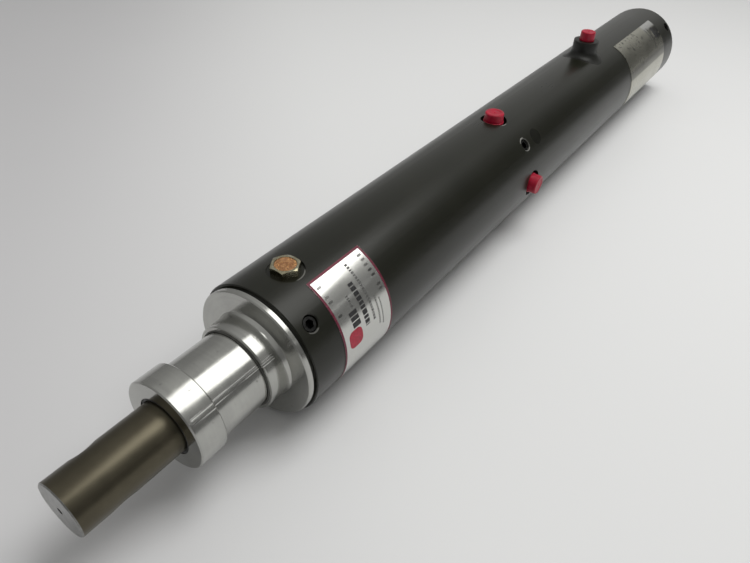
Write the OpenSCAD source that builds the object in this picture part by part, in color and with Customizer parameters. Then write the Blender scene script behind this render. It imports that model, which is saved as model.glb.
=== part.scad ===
// Two-stage telescopic cylinder with a rear air-over-oil booster.
// The axis is X and the rod points to +X. The origin is on the axis at the barrel's front end face.
// Angles round the barrel run from the top (+Z) towards the side that carries the labels (+Y).

/* [Barrel] */
// Outside diameter of the barrel
barrel_od = 69.85; // [69:0.05:72]
// Bore of the barrel
barrel_bore = 57.15; // [56.5:0.05:57.6]
// Length of the barrel
barrel_length = 539; // [535:1:580]

/* [Gland] */
// Diameter of the flange rim
flange_d = 67.3; // [60:0.1:68]
// Distance from the barrel's end to the flange face
flange_face = 4; // [3:0.1:5]
// Diameter of the hub in front of the flange
hub_d = 44.45; // [44.4:0.05:46]
// Distance from the barrel's end to the hub's front face
hub_front = 15.3; // [14:0.1:16]
// Length of the gland inside the barrel
gland_depth = 36; // [35:0.5:36]

/* [Ports] */
// Distance from the barrel's front end to the middle ports
port_back = 221; // [219:0.5:222]
// Diameter of the clearance hole in the barrel around a middle port
port_clearance_d = 17.2; // [16:0.1:18]
// Tapping diameter of the port threads
port_thread_d = 11.4; // [11:0.1:11.8]
// Distance from the barrel's front end to the welded rear port
boss_back = 376; // [374:1:400]
// Diameter of the welded boss
boss_d = 19.4; // [18:0.1:20]
// Height of the boss face above the barrel's axis
boss_top = 46.4; // [44:0.1:50]

/* [First stage] */
// Outside diameter of the sleeve
sleeve_d = 39.2; // [38.8:0.1:39.2]
// Bore of the sleeve
sleeve_bore = 33; // [32.6:0.1:33.4]
// Diameter of the collar on the sleeve
collar_d = 44.2; // [42:0.1:44.2]
// Position of the collar's rear face
collar_rear = 41.65; // [41.5:0.05:43]
// Position of the collar's front face
collar_front = 55.4; // [55:0.1:57]

/* [Rod] */
// Diameter of the rod
rod_d = 25.4; // [25:0.1:25.4]
// Position of the rod's tip
rod_tip = 102.5; // [100:0.5:120]
// Position of the rear end of the wrench hollows
hollow_rear = 78.6; // [77:0.1:80]
// Position of the front end of the wrench hollows
hollow_front = 90.3; // [89:0.1:92]
// Depth of each wrench hollow
hollow_depth = 0.6; // [0.4:0.1:0.8]

/* [Booster] */
// Diameter of the ram
ram_d = 18; // [16:0.1:18]
// Position of the ram's tip
ram_tip = -190; // [-195:1:-190]
// Distance from the barrel's front end to the air piston's rear face
air_piston_back = 362; // [358:1:362]

/* [Labels] */
// Distance from the barrel's front end to the front label
front_label_back = 19.6; // [19:0.1:22]
// Length of the front label along the barrel
front_label_length = 37.4; // [30:0.1:40]
// Distance from the barrel's front end to the rear label
rear_label_back = 416.5; // [410:0.5:420]
// Length of the rear label along the barrel
rear_label_length = 93.5; // [80:0.5:100]

/* [Hidden] */

$fn = 96;
eps = 0.02;                          // overrun that keeps cuts clean
fit = 0.05;                          // radial gap of a sliding or running fit
seat_gap = 0.075;                    // radial gap between a fixed part and the barrel's bore
barrel_r = barrel_od / 2;
bore_r = barrel_bore / 2;
inner_r = bore_r - seat_gap;         // outside radius of what is fixed in the bore
piston_r = bore_r - 2 * fit;         // outside radius of what slides in the bore
end_chamfer = 0.4;

// Gland
flange_r = flange_d / 2;
relief_r = flange_r - 1.1;           // narrow neck between the barrel's end and the rim
relief_length = 1.1;
rim_edges = [0.25, 0.6];              // chamfers of the flange rim, rear and front
hub_r = hub_d / 2;
root_arc = 5.6;                      // concave arc where the hub meets the flange face
root_length = 3;
root_rise = root_arc - sqrt(pow(root_arc, 2) - pow(root_length, 2));
hub_chamfer = 0.5;
sleeve_r = sleeve_d / 2;
gland_bore_r = sleeve_r + 0.2;
wiper_seat_r = sleeve_r + 0.9;
wiper_depth = 6;
wiper_lip = 0.6;                     // how far the wiper stands out of the hub
bearing_seat_r = sleeve_r + 1.6;
bearing_x = [-14, 6];
gland_seal_seat_r = sleeve_r + 3.9;
gland_seal_x = [-33.2, -27.4];
vent_groove_x = [-23, -18];
gland_o_ring_x = -31;

// Breather
breather_x = -20.45;
breather_face_r = 9;                 // spot face round the breather
breather_seat = 33.6;                // height of the spot face above the axis
breather_thread_r = 4.7;
breather_floor = 26;                 // height of the thread's inner end above the axis
breather_hex_r = 7.33;               // half the hexagon's size across its corners
breather_crown_r = 6.3;              // flat ring inside the chamfered corners
breather_slope = 1.72;               // run of the corner chamfer for each unit of drop
breather_top = 37.9;
breather_height = breather_top - breather_seat;
breather_cup_r = 5.2;
breather_cup_depth = 1.6;
vent_r = 1.6;

// Set screws
screw_angle = 45;
screw_r = 3.95;
screw_length = 8.8;
screw_sink = 1.1;                    // screw end below the barrel's surface
screw_edge = 0.6;
screw_mouth = 0.5;                   // chamfer at the mouth of a screw hole
screw_floor = 24.8;                  // height of the bottom of a screw hole above the axis
screw_socket_r = 2.29;
screw_socket_depth = 3.6;
screw_places = [-8.3, -port_back, -(barrel_length - 6)];

// Middle head
head_x = [-241, -199];
head_o_rings = [-234, -206];
o_ring_wire = 1.75;                  // radius of the cord of a static seal ring
ram_r = ram_d / 2;
ram_bearing_x = [-238, -214];
ram_seal_x = [-210, -204];
ram_seat_r = ram_r + 2.6;
port_angles = [0, 90];
port_floor = 14.5;                   // height of a port's floor above the axis
gallery_r = 2.6;                     // drillings from the ports to the head's faces
gallery_height = 18.5;

// Rear port
boss_x = -boss_back;
boss_r = boss_d / 2;
boss_edge = 0.4;
weld_top = 39.2;                     // height at which the weld meets the boss
weld_bottom = 27;
weld_profile = [[15.1, weld_bottom], [14.6, 34.9], [11.7, 36.7], [boss_r, weld_top]];
rear_drilling_r = 5;

// Plugs
plug_shank_r = 5.55;
plug_wall = 1.2;
plug_edge = 1.4;                     // rounding of a plug's crown
plug_seat = inner_r + 0.1;           // height of a middle plug's foot above the axis
plug_top = 39.5;
middle_plug_r = 6.3;
rear_plug_r = 5.75;
rear_plug_height = 6.8;

// Rear
cap_recess = 0.8;
cap_depth = 34;
cap_o_ring_x = -(barrel_length - 24);
spanner_hole_r = 3;
spanner_hole_depth = 7;
spanner_circle_r = 18;
spacer_x = [-306, -241.4];
spacer_r = 24.5;

// First stage
collar_r = collar_d / 2;
collar_chamfer = 0.6;
sleeve_bore_r = sleeve_bore / 2;
sleeve_rear = -165;
bush_seat_r = 15.05;
bush_x = [22, 39];
rod_seal_x = [40, 46.5];
bush_seat_x = [20, 48];
rod_r = rod_d / 2;
rod_gap_r = rod_r + 0.5;
rod_wiper_r = 14.2;
rod_wiper_depth = 5;
stage_piston_x = [-169, -140];
stage_seal_x = stage_piston_x[0] + 9;
stage_band_x = stage_piston_x[1] - 8;
stage_lip = 4;
stage_lip_r = 14;
stop_tube_x = [-139.9, -120];
stop_tube_r = 23;

// Rod
rod_chamfer = 0.5;
rod_spigot_r = 8;
rod_piston_r = sleeve_bore_r - 2 * fit;
rod_piston_x = [-100, -80];
rod_piston_seal_x = rod_piston_x[0] + 5;
rod_band_x = rod_piston_x[1] - 5.5;
rod_nut_x = [-108, -100];
nut_r = 12.6;
hollow_angle = -50;
hollow_chord = hollow_front - hollow_rear;
hollow_r = (pow(hollow_chord / 2, 2) + pow(hollow_depth, 2)) / (2 * hollow_depth);
centre_drill_r = 1.5;
centre_drill_depth = 4;

// Booster
air_piston_x = [-air_piston_back, -air_piston_back + 24];
air_seals_x = [air_piston_x[0] + 5, air_piston_x[1] - 5];
air_band_x = (air_piston_x[0] + air_piston_x[1]) / 2;
ram_spigot_r = 7;
ram_nut_x = [-air_piston_back - 8, -air_piston_back];

// Seals
groove_depth = 3;
groove_gap = 0.1;                    // clearance round a seal in its groove
seal_width = 4;
band_width = 6;
label_thickness = 0.25;
front_label_angles = [21, 125];
rear_label_angles = [19, 112];

// Places a shape drawn along Z along the X axis, starting at x
module along_x(x = 0) {
    translate([x, 0, 0]) rotate([0, 90, 0]) children();
}

// Turns a profile (radius, distance along the axis) about the X axis, starting at x
module turned(x = 0) {
    along_x(x) rotate_extrude() children();
}

// Places a shape so that its Z axis points outwards at an angle from the top
module radial(x, angle) {
    translate([x, 0, 0]) rotate([-angle, 0, 0]) children();
}

module ring(span, outer, inner) {
    along_x(span[0]) difference() {
        cylinder(h = span[1] - span[0], r = outer);
        translate([0, 0, -1]) cylinder(h = span[1] - span[0] + 2, r = inner);
    }
}

// Ring with its outer edges broken
module edged_ring(span, outer, inner, edge) {
    length = span[1] - span[0];
    turned(span[0]) polygon([
        [inner, 0], [outer - edge, 0], [outer, edge],
        [outer, length - edge], [outer - edge, length], [inner, length]
    ]);
}

module disc(span, r) {
    along_x(span[0]) cylinder(h = span[1] - span[0], r = r);
}

// Ends of a stretch of a given width with x at its middle
function around(x, width) = [x - width / 2, x + width / 2];

// A groove cut round a shaft of a given radius
module outer_groove(x, width, r, depth) {
    ring(around(x, width), r + 1, r - depth);
}

module o_ring(x, r) {
    turned(x) translate([r - o_ring_wire, 0]) circle(r = o_ring_wire - eps, $fn = 32);
}

module o_ring_groove(x, r) {
    outer_groove(x, 2.6 * o_ring_wire, r, 2 * o_ring_wire);
}

// Lip seal or piston seal: a ring with a V cut in its pressure face
module lip_seal(span, outer, inner) {
    length = span[1] - span[0];
    middle = (outer + inner) / 2;
    vee = (outer - inner) / 4;
    turned(span[0]) polygon([
        [inner, 0], [middle - vee, 0], [middle, length / 2], [middle + vee, 0],
        [outer, 0], [outer, length], [inner, length]
    ]);
}

// Piston seal and wear band at x on a piston of radius r, and the grooves that hold them
module piston_seal(x, r) {
    lip_seal(around(x, seal_width), r + fit, r - groove_depth + eps);
}

module wear_band(x, r) {
    ring(around(x, band_width), r + fit, r - groove_depth / 2 + eps);
}

module seal_groove(x, r) {
    outer_groove(x, seal_width + 2 * groove_gap, r, groove_depth);
}

module band_groove(x, r) {
    outer_groove(x, band_width + 2 * groove_gap, r, groove_depth / 2);
}

module hex_prism(span, r) {
    along_x(span[0]) cylinder(h = span[1] - span[0], r = r, $fn = 6);
}

// Hole for a set screw in a part inside the barrel
module screw_seat(x) {
    radial(x, screw_angle) translate([0, 0, screw_floor]) cylinder(h = 10, r = screw_r + fit);
}

// Curved plate on the barrel's surface
module wrapped_label(back, length, angles) {
    along_x(-back - length)
        rotate([0, 0, 180 - angles[1]])
            rotate_extrude(angle = angles[1] - angles[0])
                translate([barrel_r, 0]) square([label_thickness, length]);
}

module barrel_tube() {
    color("#2b2a27") difference() {
        edged_ring([-barrel_length, 0], barrel_r, bore_r, end_chamfer);
        for (angle = port_angles)
            radial(-port_back, angle) cylinder(h = barrel_r + 1, r = port_clearance_d / 2);
        for (x = screw_places)
            radial(x, screw_angle) {
                cylinder(h = barrel_r + 1, r = screw_r + fit);
                translate([0, 0, barrel_r - screw_mouth])
                    cylinder(h = 2 * screw_mouth, r1 = screw_r + fit, r2 = screw_r + fit + 2 * screw_mouth);
            }
        radial(breather_x, 0) cylinder(h = barrel_r + 1, r = breather_thread_r + fit);
        radial(breather_x, 0) translate([0, 0, breather_seat]) cylinder(h = 5, r = breather_face_r);
        radial(boss_x, 0) cylinder(h = barrel_r + 1, r = rear_drilling_r);
    }
}

// Flange, hub and spigot turned from one bar
module front_gland() {
    color("#c9c9c6") difference() {
        union() {
            disc([-gland_depth, eps], inner_r);
            disc([0, relief_length], relief_r);
            turned(0) polygon([
                [gland_bore_r, relief_length], [flange_r - rim_edges[0], relief_length],
                [flange_r, relief_length + rim_edges[0]], [flange_r, flange_face - rim_edges[1]],
                [flange_r - rim_edges[1], flange_face], [gland_bore_r, flange_face]
            ]);
            turned(flange_face) difference() {
                square([hub_r + root_rise, root_length]);
                translate([hub_r + root_arc, root_length]) circle(r = root_arc);
            }
            edged_ring([0, hub_front], hub_r, gland_bore_r, hub_chamfer);
        }
        disc([-gland_depth - 1, hub_front + 1], gland_bore_r);
        disc([hub_front - wiper_depth, hub_front + 1], wiper_seat_r);
        disc(bearing_x, bearing_seat_r);
        disc(gland_seal_x, gland_seal_seat_r);
        disc(vent_groove_x, gland_bore_r + 1.4);
        o_ring_groove(gland_o_ring_x, inner_r);
        radial(breather_x, 0) cylinder(h = barrel_r, r = vent_r);
        radial(breather_x, 0) translate([0, 0, breather_floor - 0.2])
            cylinder(h = 9, r = breather_thread_r + fit);
        screw_seat(screw_places[0]);
    }
}

module gland_bearing() {
    color("#8c6b3f") ring(bearing_x + [groove_gap, -groove_gap], bearing_seat_r - eps, sleeve_r + fit);
}

module gland_seal() {
    color("#1d1d1f")
        lip_seal(gland_seal_x + [groove_gap, -groove_gap], gland_seal_seat_r - eps, sleeve_r + 2 * fit);
}

// Scraper with a lip that stands at the mouth of the hub
module gland_wiper() {
    depth = wiper_depth - groove_gap;
    color("#161616") turned(hub_front - depth) polygon([
        [sleeve_r + 0.3, 0], [wiper_seat_r - eps, 0], [wiper_seat_r - eps, depth],
        [sleeve_r + 0.6, depth + wiper_lip - 0.15], [sleeve_r + 0.4, depth + wiper_lip],
        [sleeve_r + 2 * fit, depth + wiper_lip - 0.3], [sleeve_r + 2 * fit, depth - 2.4]
    ]);
}

module gland_o_ring() {
    color("#161616") o_ring(gland_o_ring_x, inner_r);
}

// Three socket set screws that lock the gland, the middle head and the rear cap
module set_screws() {
    top = barrel_r - screw_sink;
    color("#1b1b1b") for (x = screw_places)
        radial(x, screw_angle) difference() {
            union() {
                translate([0, 0, top - screw_length]) cylinder(h = screw_length - screw_edge, r = screw_r);
                translate([0, 0, top - screw_edge])
                    cylinder(h = screw_edge, r1 = screw_r, r2 = screw_r - screw_edge);
            }
            translate([0, 0, top - screw_socket_depth])
                cylinder(h = screw_socket_depth + 1, r = screw_socket_r, $fn = 6);
        }
}

// Hexagon breather with its thread
module breather_body() {
    color("#b7b09b") radial(breather_x, 0) difference() {
        union() {
            translate([0, 0, breather_floor])
                cylinder(h = breather_seat - breather_floor + eps, r = breather_thread_r);
            translate([0, 0, breather_seat]) intersection() {
                rotate([0, 0, 30]) cylinder(h = breather_height, r = breather_hex_r, $fn = 6);
                cylinder(h = breather_height, r1 = breather_crown_r + breather_slope * breather_height,
                    r2 = breather_crown_r);
            }
        }
        cylinder(h = barrel_r + 5, r = vent_r);
        translate([0, 0, breather_top - breather_cup_depth]) cylinder(h = 5, r = breather_cup_r);
    }
}

// Sintered disc pressed into the breather
module breather_element() {
    crown = 0.35;
    color("#b9752f") radial(breather_x, 0) translate([0, 0, breather_top - breather_cup_depth])
        rotate_extrude() polygon([
            [0, 0], [breather_cup_r - eps, 0], [breather_cup_r - eps, breather_cup_depth - crown],
            [breather_cup_r / 2, breather_cup_depth - 0.1], [0, breather_cup_depth]
        ]);
}

// Fixed head between the working chamber and the booster
module centre_head() {
    color("#a9aaa8") difference() {
        disc(head_x, inner_r);
        disc(head_x + [-1, 1], ram_r + 0.3);
        disc(ram_bearing_x, ram_seat_r);
        disc([ram_bearing_x[0] - 5, ram_bearing_x[0] + 1], ram_seat_r);
        disc(ram_seal_x, ram_seat_r);
        for (x = head_o_rings)
            o_ring_groove(x, inner_r);
        for (angle = port_angles)
            radial(-port_back, angle) translate([0, 0, port_floor]) cylinder(h = 20, r = port_thread_d / 2);
        radial(-port_back, port_angles[0]) translate([0, 0, gallery_height])
            rotate([0, 90, 0]) cylinder(h = 30, r = gallery_r, $fn = 32);
        radial(-port_back, port_angles[1]) translate([0, 0, gallery_height])
            rotate([0, -90, 0]) cylinder(h = 30, r = gallery_r, $fn = 32);
        screw_seat(screw_places[1]);
    }
}

module centre_head_o_rings() {
    color("#161616") for (x = head_o_rings)
        o_ring(x, inner_r);
}

module ram_bearing() {
    color("#8c6b3f")
        ring([ram_bearing_x[0] - 3, ram_bearing_x[1] - groove_gap], ram_seat_r - eps, ram_r + fit);
}

module ram_seal() {
    color("#1d1d1f") lip_seal(ram_seal_x + [groove_gap, -groove_gap], ram_seat_r - eps, ram_r + 2 * fit);
}

// Round boss with the fillet weld that joins it to the barrel
module port_boss() {
    color("#262624") difference() {
        radial(boss_x, 0) rotate_extrude() polygon(concat(
            [[0, weld_bottom]], weld_profile,
            [[boss_r, boss_top - boss_edge], [boss_r - boss_edge, boss_top], [0, boss_top]]
        ));
        disc([-barrel_length, 0], barrel_r);
        radial(boss_x, 0) cylinder(h = boss_top + 1, r = port_thread_d / 2);
    }
}

// Moulded transport plug: a hollow cup with a rounded crown and a narrower shank
module transport_plug(base, top, body_r, sink) {
    crown = top - plug_edge;
    rotate_extrude() difference() {
        union() {
            translate([0, base - sink]) square([plug_shank_r, sink + eps]);
            polygon([[0, base], [body_r, base], [body_r - 0.2, crown], [body_r - plug_edge, top], [0, top]]);
            translate([body_r - 0.2 - plug_edge, crown]) circle(r = plug_edge, $fn = 32);
        }
        translate([-1, base - sink - 1]) square([plug_shank_r - plug_wall + 1, sink]);
    }
}

module port_plug_top() {
    color("#a8182a") radial(-port_back, port_angles[0])
        transport_plug(plug_seat, plug_top, middle_plug_r, 4);
}

module port_plug_side() {
    color("#a8182a") radial(-port_back, port_angles[1])
        transport_plug(plug_seat, plug_top, middle_plug_r, 4);
}

module port_plug_rear() {
    color("#a8182a") radial(boss_x, 0)
        transport_plug(boss_top, boss_top + rear_plug_height, rear_plug_r, 7);
}

// Tube that stops the air piston at the end of its stroke
module stroke_spacer() {
    color("#9a9a98") ring(spacer_x, inner_r, spacer_r);
}

// Screwed end cap with two holes for a pin spanner
module rear_cap() {
    rear = -barrel_length + cap_recess;
    color("#a9aaa8") difference() {
        edged_ring([rear, rear + cap_depth], inner_r, 0, 0.6);
        o_ring_groove(cap_o_ring_x, inner_r);
        for (side = [-1, 1])
            translate([rear - 1, side * spanner_circle_r, 0]) rotate([0, 90, 0])
                cylinder(h = spanner_hole_depth + 1, r = spanner_hole_r);
        screw_seat(screw_places[2]);
    }
}

module rear_cap_o_ring() {
    color("#161616") o_ring(cap_o_ring_x, inner_r);
}

module front_label() {
    color("#d9d9d4") wrapped_label(front_label_back, front_label_length, front_label_angles);
}

module rear_label() {
    color("#b8b6ab") wrapped_label(rear_label_back, rear_label_length, rear_label_angles);
}

// Hollow first stage with the collar turned on its front end
module stage_sleeve() {
    color("#c4c4c0") difference() {
        union() {
            disc([sleeve_rear, collar_rear + 1], sleeve_r);
            edged_ring([collar_rear, collar_front], collar_r, rod_gap_r, collar_chamfer);
        }
        disc([sleeve_rear - 1, bush_seat_x[0]], sleeve_bore_r);
        disc(bush_seat_x - [1, 0], bush_seat_r);
        disc([sleeve_rear, collar_front + 1], rod_gap_r);
        disc([collar_front - rod_wiper_depth, collar_front + 1], rod_wiper_r);
    }
}

module stage_piston() {
    color("#b0b0ad") difference() {
        edged_ring(stage_piston_x, piston_r, stage_lip_r, 0.5);
        disc([stage_piston_x[0] + stage_lip, stage_piston_x[1] + 1], sleeve_r + eps);
        band_groove(stage_band_x, piston_r);
        seal_groove(stage_seal_x, piston_r);
    }
}

module stage_piston_seal() {
    color("#1d1d1f") piston_seal(stage_seal_x, piston_r);
}

module stage_wear_band() {
    color("#7a4f2a") wear_band(stage_band_x, piston_r);
}

// Spacer that meets the gland when the stage is fully out
module stage_stop_tube() {
    color("#9a9a98") ring(stop_tube_x, stop_tube_r, sleeve_r + eps);
}

module rod_bush() {
    color("#8c6b3f") ring(bush_x, bush_seat_r - eps, rod_r + fit);
}

module rod_seal() {
    color("#1d1d1f") lip_seal(rod_seal_x, bush_seat_r - eps, rod_r + 2 * fit);
}

// Scraper in the face of the collar
module rod_wiper() {
    depth = rod_wiper_depth - groove_gap;
    color("#161616") turned(collar_front - depth) polygon([
        [rod_r + 0.4, 0], [rod_wiper_r - eps, 0], [rod_wiper_r - eps, depth - 0.6],
        [rod_r + 1, depth - 1.8], [rod_r + 2 * fit, depth - 0.6], [rod_r + 2 * fit, depth - 2.4]
    ]);
}

// Solid rod with a pair of shallow wrench hollows and a centre drilling
module rod() {
    color("#4a4640") difference() {
        union() {
            disc([rod_piston_x[1], rod_tip - rod_chamfer], rod_r);
            along_x(rod_tip - rod_chamfer) cylinder(h = rod_chamfer, r1 = rod_r, r2 = rod_r - rod_chamfer);
            disc([rod_nut_x[0] - 1, rod_piston_x[1] + 1], rod_spigot_r);
        }
        for (side = [0, 180])
            radial(hollow_rear + hollow_chord / 2, hollow_angle + side)
                translate([0, rod_r, rod_r - hollow_depth + hollow_r])
                    rotate([90, 0, 0]) cylinder(h = 2 * rod_r, r = hollow_r);
        along_x(rod_tip - centre_drill_depth)
            cylinder(h = centre_drill_depth + 1, r = centre_drill_r, $fn = 32);
    }
}

module rod_piston() {
    color("#b0b0ad") difference() {
        edged_ring(rod_piston_x, rod_piston_r, rod_spigot_r + eps, 0.4);
        seal_groove(rod_piston_seal_x, rod_piston_r);
        band_groove(rod_band_x, rod_piston_r);
    }
}

module rod_piston_seal() {
    color("#1d1d1f") piston_seal(rod_piston_seal_x, rod_piston_r);
}

module rod_wear_band() {
    color("#7a4f2a") wear_band(rod_band_x, rod_piston_r);
}

module rod_piston_nut() {
    color("#8e8e8a") difference() {
        hex_prism(rod_nut_x, nut_r);
        disc(rod_nut_x + [-1, 1], rod_spigot_r + eps);
    }
}

module air_piston() {
    color("#b0b0ad") difference() {
        edged_ring(air_piston_x, piston_r, ram_spigot_r + eps, 0.5);
        for (x = air_seals_x)
            seal_groove(x, piston_r);
        band_groove(air_band_x, piston_r);
    }
}

module air_piston_seals() {
    color("#1d1d1f") for (x = air_seals_x)
        piston_seal(x, piston_r);
}

module air_wear_band() {
    color("#7a4f2a") wear_band(air_band_x, piston_r);
}

// Ram that the air piston drives into the oil
module ram() {
    color("#8e8e8a") union() {
        disc([air_piston_x[1], ram_tip], ram_r);
        disc([ram_nut_x[0] - 1, air_piston_x[1] + 1], ram_spigot_r);
    }
}

module ram_nut() {
    color("#8e8e8a") difference() {
        hex_prism(ram_nut_x, nut_r);
        disc(ram_nut_x + [-1, 1], ram_spigot_r + eps);
    }
}

barrel_tube();
front_gland();
gland_bearing();
gland_seal();
gland_wiper();
gland_o_ring();
set_screws();
breather_body();
breather_element();
centre_head();
centre_head_o_rings();
ram_bearing();
ram_seal();
port_boss();
port_plug_top();
port_plug_side();
port_plug_rear();
stroke_spacer();
rear_cap();
rear_cap_o_ring();
front_label();
rear_label();
stage_sleeve();
stage_piston();
stage_piston_seal();
stage_wear_band();
stage_stop_tube();
rod_bush();
rod_seal();
rod_wiper();
rod();
rod_piston();
rod_piston_seal();
rod_wear_band();
rod_piston_nut();
air_piston();
air_piston_seals();
air_wear_band();
ram();
ram_nut();
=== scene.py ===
"""Looks of the two-stage telescopic cylinder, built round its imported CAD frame.

The frame's axis is X, with the rod towards +X and +Z up. Angles round the barrel run from the top
towards +Y, the side that carries the labels. Lengths below are in millimetres and are turned into
metres where a mesh is made.
"""
import math
import random

import bmesh
import bpy
from mathutils import Matrix, Vector


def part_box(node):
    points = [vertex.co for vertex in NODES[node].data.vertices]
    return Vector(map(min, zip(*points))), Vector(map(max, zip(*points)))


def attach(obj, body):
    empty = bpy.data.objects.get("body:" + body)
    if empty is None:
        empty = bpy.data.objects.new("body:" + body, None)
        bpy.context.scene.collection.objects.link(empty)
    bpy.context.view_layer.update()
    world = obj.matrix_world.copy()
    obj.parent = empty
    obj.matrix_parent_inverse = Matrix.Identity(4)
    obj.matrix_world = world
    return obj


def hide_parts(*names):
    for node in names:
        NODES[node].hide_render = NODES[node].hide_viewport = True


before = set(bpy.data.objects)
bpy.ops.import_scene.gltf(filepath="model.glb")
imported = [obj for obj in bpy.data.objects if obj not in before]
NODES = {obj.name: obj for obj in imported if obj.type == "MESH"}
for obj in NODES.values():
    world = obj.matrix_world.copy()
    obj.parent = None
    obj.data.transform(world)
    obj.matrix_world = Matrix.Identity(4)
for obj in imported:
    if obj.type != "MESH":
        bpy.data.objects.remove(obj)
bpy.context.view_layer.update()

MM = 0.001
random.seed(7)


def span(node, axis):
    """Lowest and highest value of a CAD node along an axis (0, 1 or 2), in millimetres."""
    low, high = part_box(node)
    return low[axis] / MM, high[axis] / MM


# ---------------------------------------------------------------- sizes read from the frame
BARREL_REAR, BARREL_FRONT = span("barrel_tube", 0)
BARREL_R = span("barrel_tube", 1)[1]
HUB_FRONT = span("front_gland", 0)[1]
COLLAR_FRONT = span("stage_sleeve", 0)[1]
COLLAR_R = span("stage_sleeve", 1)[1]
ROD_TIP = span("rod", 0)[1]
ROD_R = span("rod", 1)[1]
SLEEVE_R = 19.6
FLANGE_R = span("front_gland", 1)[1]
PORT_X = sum(span("port_plug_top", 0)) / 2
BOSS_X = sum(span("port_boss", 0)) / 2
BOSS_TOP = span("port_boss", 2)[1]
BREATHER_X = sum(span("breather_element", 0)) / 2
BREATHER_TOP = span("breather_body", 2)[1]
BREATHER_SEAT = 33.6
FRONT_LABEL = span("front_label", 0)
REAR_LABEL = span("rear_label", 0)
SCREW_X = [-8.3, PORT_X, BARREL_REAR + 6]
SCREW_ANGLE = 45


# ---------------------------------------------------------------- camera, floor and light
def make_camera():
    """Camera at the place found by fitting the object's outline."""
    data = bpy.data.cameras.new("camera")
    data.lens = 30.38
    data.sensor_width = 36
    data.clip_start = 0.005
    data.clip_end = 50
    camera = bpy.data.objects.new("camera", data)
    camera.location = (0.14020, 0.15745, 0.21272)
    camera.rotation_euler = [math.radians(a) for a in (50.422, -2.108, 125.846)]
    bpy.context.scene.collection.objects.link(camera)
    bpy.context.scene.camera = camera


def direction(azimuth, elevation):
    """Unit vector at an azimuth from +X towards +Y and an elevation above the floor, in degrees."""
    a = math.radians(azimuth)
    e = math.radians(elevation)
    return Vector((math.cos(a) * math.cos(e), math.sin(a) * math.cos(e), math.sin(e)))


def make_softbox(name, azimuth, elevation, distance, size, radiance, colour=(1, 1, 1)):
    """Rectangular lamp in a direction from the origin, turned towards it. Lengths in metres."""
    data = bpy.data.lights.new(name, "AREA")
    data.shape = "RECTANGLE"
    data.size, data.size_y = size
    data.energy = radiance * math.pi * size[0] * size[1]
    data.color = colour
    lamp = bpy.data.objects.new(name, data)
    lamp.location = direction(azimuth, elevation) * distance
    lamp.rotation_euler = (-lamp.location).to_track_quat("-Z", "Y").to_euler()
    bpy.context.scene.collection.objects.link(lamp)
    return lamp


def make_world():
    """Grey room: mid grey all round, dark low down on the +Y side, lighter overhead."""
    world = bpy.data.worlds.new("room")
    world.use_nodes = True
    bpy.context.scene.world = world
    nodes, links = world.node_tree.nodes, world.node_tree.links
    background = nodes["Background"]
    coords = nodes.new("ShaderNodeTexCoord")
    split = nodes.new("ShaderNodeSeparateXYZ")
    links.new(coords.outputs["Generated"], split.inputs[0])

    def shade(stops):
        """Grey levels by height, from (height, level) pairs."""
        ramp = nodes.new("ShaderNodeValToRGB")
        while len(ramp.color_ramp.elements) < len(stops):
            ramp.color_ramp.elements.new(0.5)
        for element, (height, level) in zip(ramp.color_ramp.elements, stops):
            element.position = height
            element.color = (level, level, level * 0.98, 1)
        links.new(split.outputs["Z"], ramp.inputs[0])
        return ramp.outputs[0]

    side = nodes.new("ShaderNodeMapRange")
    side.inputs["From Min"].default_value = 0.0
    side.inputs["From Max"].default_value = 0.30
    links.new(split.outputs["Y"], side.inputs["Value"])
    behind = nodes.new("ShaderNodeMapRange")
    behind.inputs["From Min"].default_value = -0.55
    behind.inputs["From Max"].default_value = -0.85
    links.new(split.outputs["X"], behind.inputs["Value"])

    def blend(factor, first, second):
        mix = nodes.new("ShaderNodeMix")
        mix.data_type = "RGBA"
        for output, name in ((factor, "Factor"), (first, "A"), (second, "B")):
            links.new(output, mix.inputs[name])
        return mix.outputs["Result"]

    far = blend(behind.outputs[0], shade(((0.0, 0.28), (0.5, 0.34), (0.85, 0.50))),
                shade(((0.0, 0.45), (0.5, 0.55), (0.8, 0.50))))
    near = blend(behind.outputs[0], shade(((0.0, 0.19), (0.40, 0.20), (0.55, 0.34), (0.8, 0.45))),
                 shade(((0.0, 0.08), (0.40, 0.09), (0.55, 0.26), (0.8, 0.42))))
    links.new(blend(side.outputs[0], far, near), background.inputs["Color"])
    background.inputs["Strength"].default_value = 1.0


make_camera()
make_world()
bpy.context.scene.view_settings.view_transform = "Standard"
lit = make_softbox("window_light", 154, 62, 1.15, (0.74, 0.72), 5.0, (1.0, 0.997, 0.985))
lit.visible_glossy = False
seen = make_softbox("window_glow", 147, 61, 1.15, (0.71, 0.70), 2.5, (1.0, 0.995, 0.97))
seen.visible_diffuse = False
make_softbox("low_strip", 117, 24, 2.2, (1.2, 0.05), 1.1)


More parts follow.
